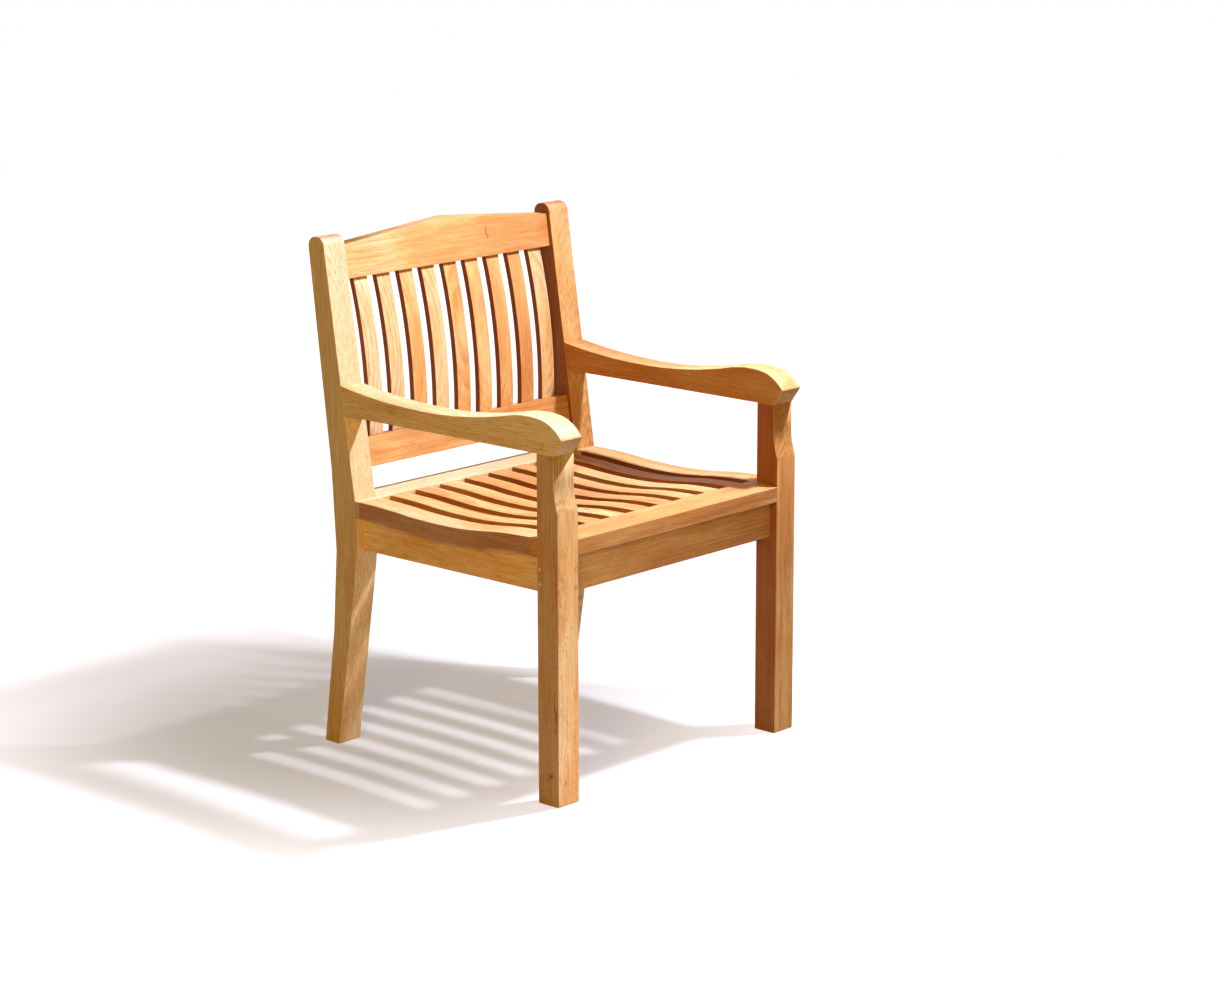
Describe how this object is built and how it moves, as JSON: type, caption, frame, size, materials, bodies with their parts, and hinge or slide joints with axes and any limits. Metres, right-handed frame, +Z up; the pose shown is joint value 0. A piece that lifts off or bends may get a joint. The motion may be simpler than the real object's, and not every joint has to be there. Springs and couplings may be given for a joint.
{
  "type": "garden armchair",
  "caption": "Rigid wooden garden armchair with a dished slatted seat, a bowed slatted back under a low peaked crest rail, scrolled arms and hollowed front legs.",
  "frame": {"origin": "on the floor, under the middle of the chair's outline seen from above", "axes": "+Z up, -Y towards the front where the sitter faces, +X to the sitter's left"},
  "size_m": [0.6, 0.5829, 0.8874],
  "materials": {
    "teak": "oiled, fine straight grain",
    "peg_teak": "oiled end grain",
    "key_teak": "bare"
  },
  "bodies": {
    "root": {"front_leg_right": "teak", "front_leg_left": "teak", "rear_post_right": "teak", "rear_post_left": "teak", "arm_right": "teak", "arm_left": "teak", "side_apron_right": "teak", "side_apron_left": "teak", "side_seat_rail_right": "teak", "side_seat_rail_left": "teak", "front_apron": "teak", "rear_apron": "teak", "front_seat_rail": "teak", "rear_seat_rail": "teak", "lower_back_rail": "teak", "crest_rail": "teak", "seat_slat_1": "teak", "seat_slat_2": "teak", "seat_slat_3": "teak", "seat_slat_4": "teak", "seat_slat_5": "teak", "seat_slat_6": "teak", "seat_slat_7": "teak", "seat_slat_8": "teak", "back_slat_1": "teak", "back_slat_2": "teak", "back_slat_3": "teak", "back_slat_4": "teak", "back_slat_5": "teak", "back_slat_6": "teak", "back_slat_7": "teak", "back_slat_8": "teak", "back_slat_9": "teak", "apron_pegs": "peg_teak", "arm_pegs": "peg_teak", "seat_keys": "key_teak"}
  },
  "joints": []
}
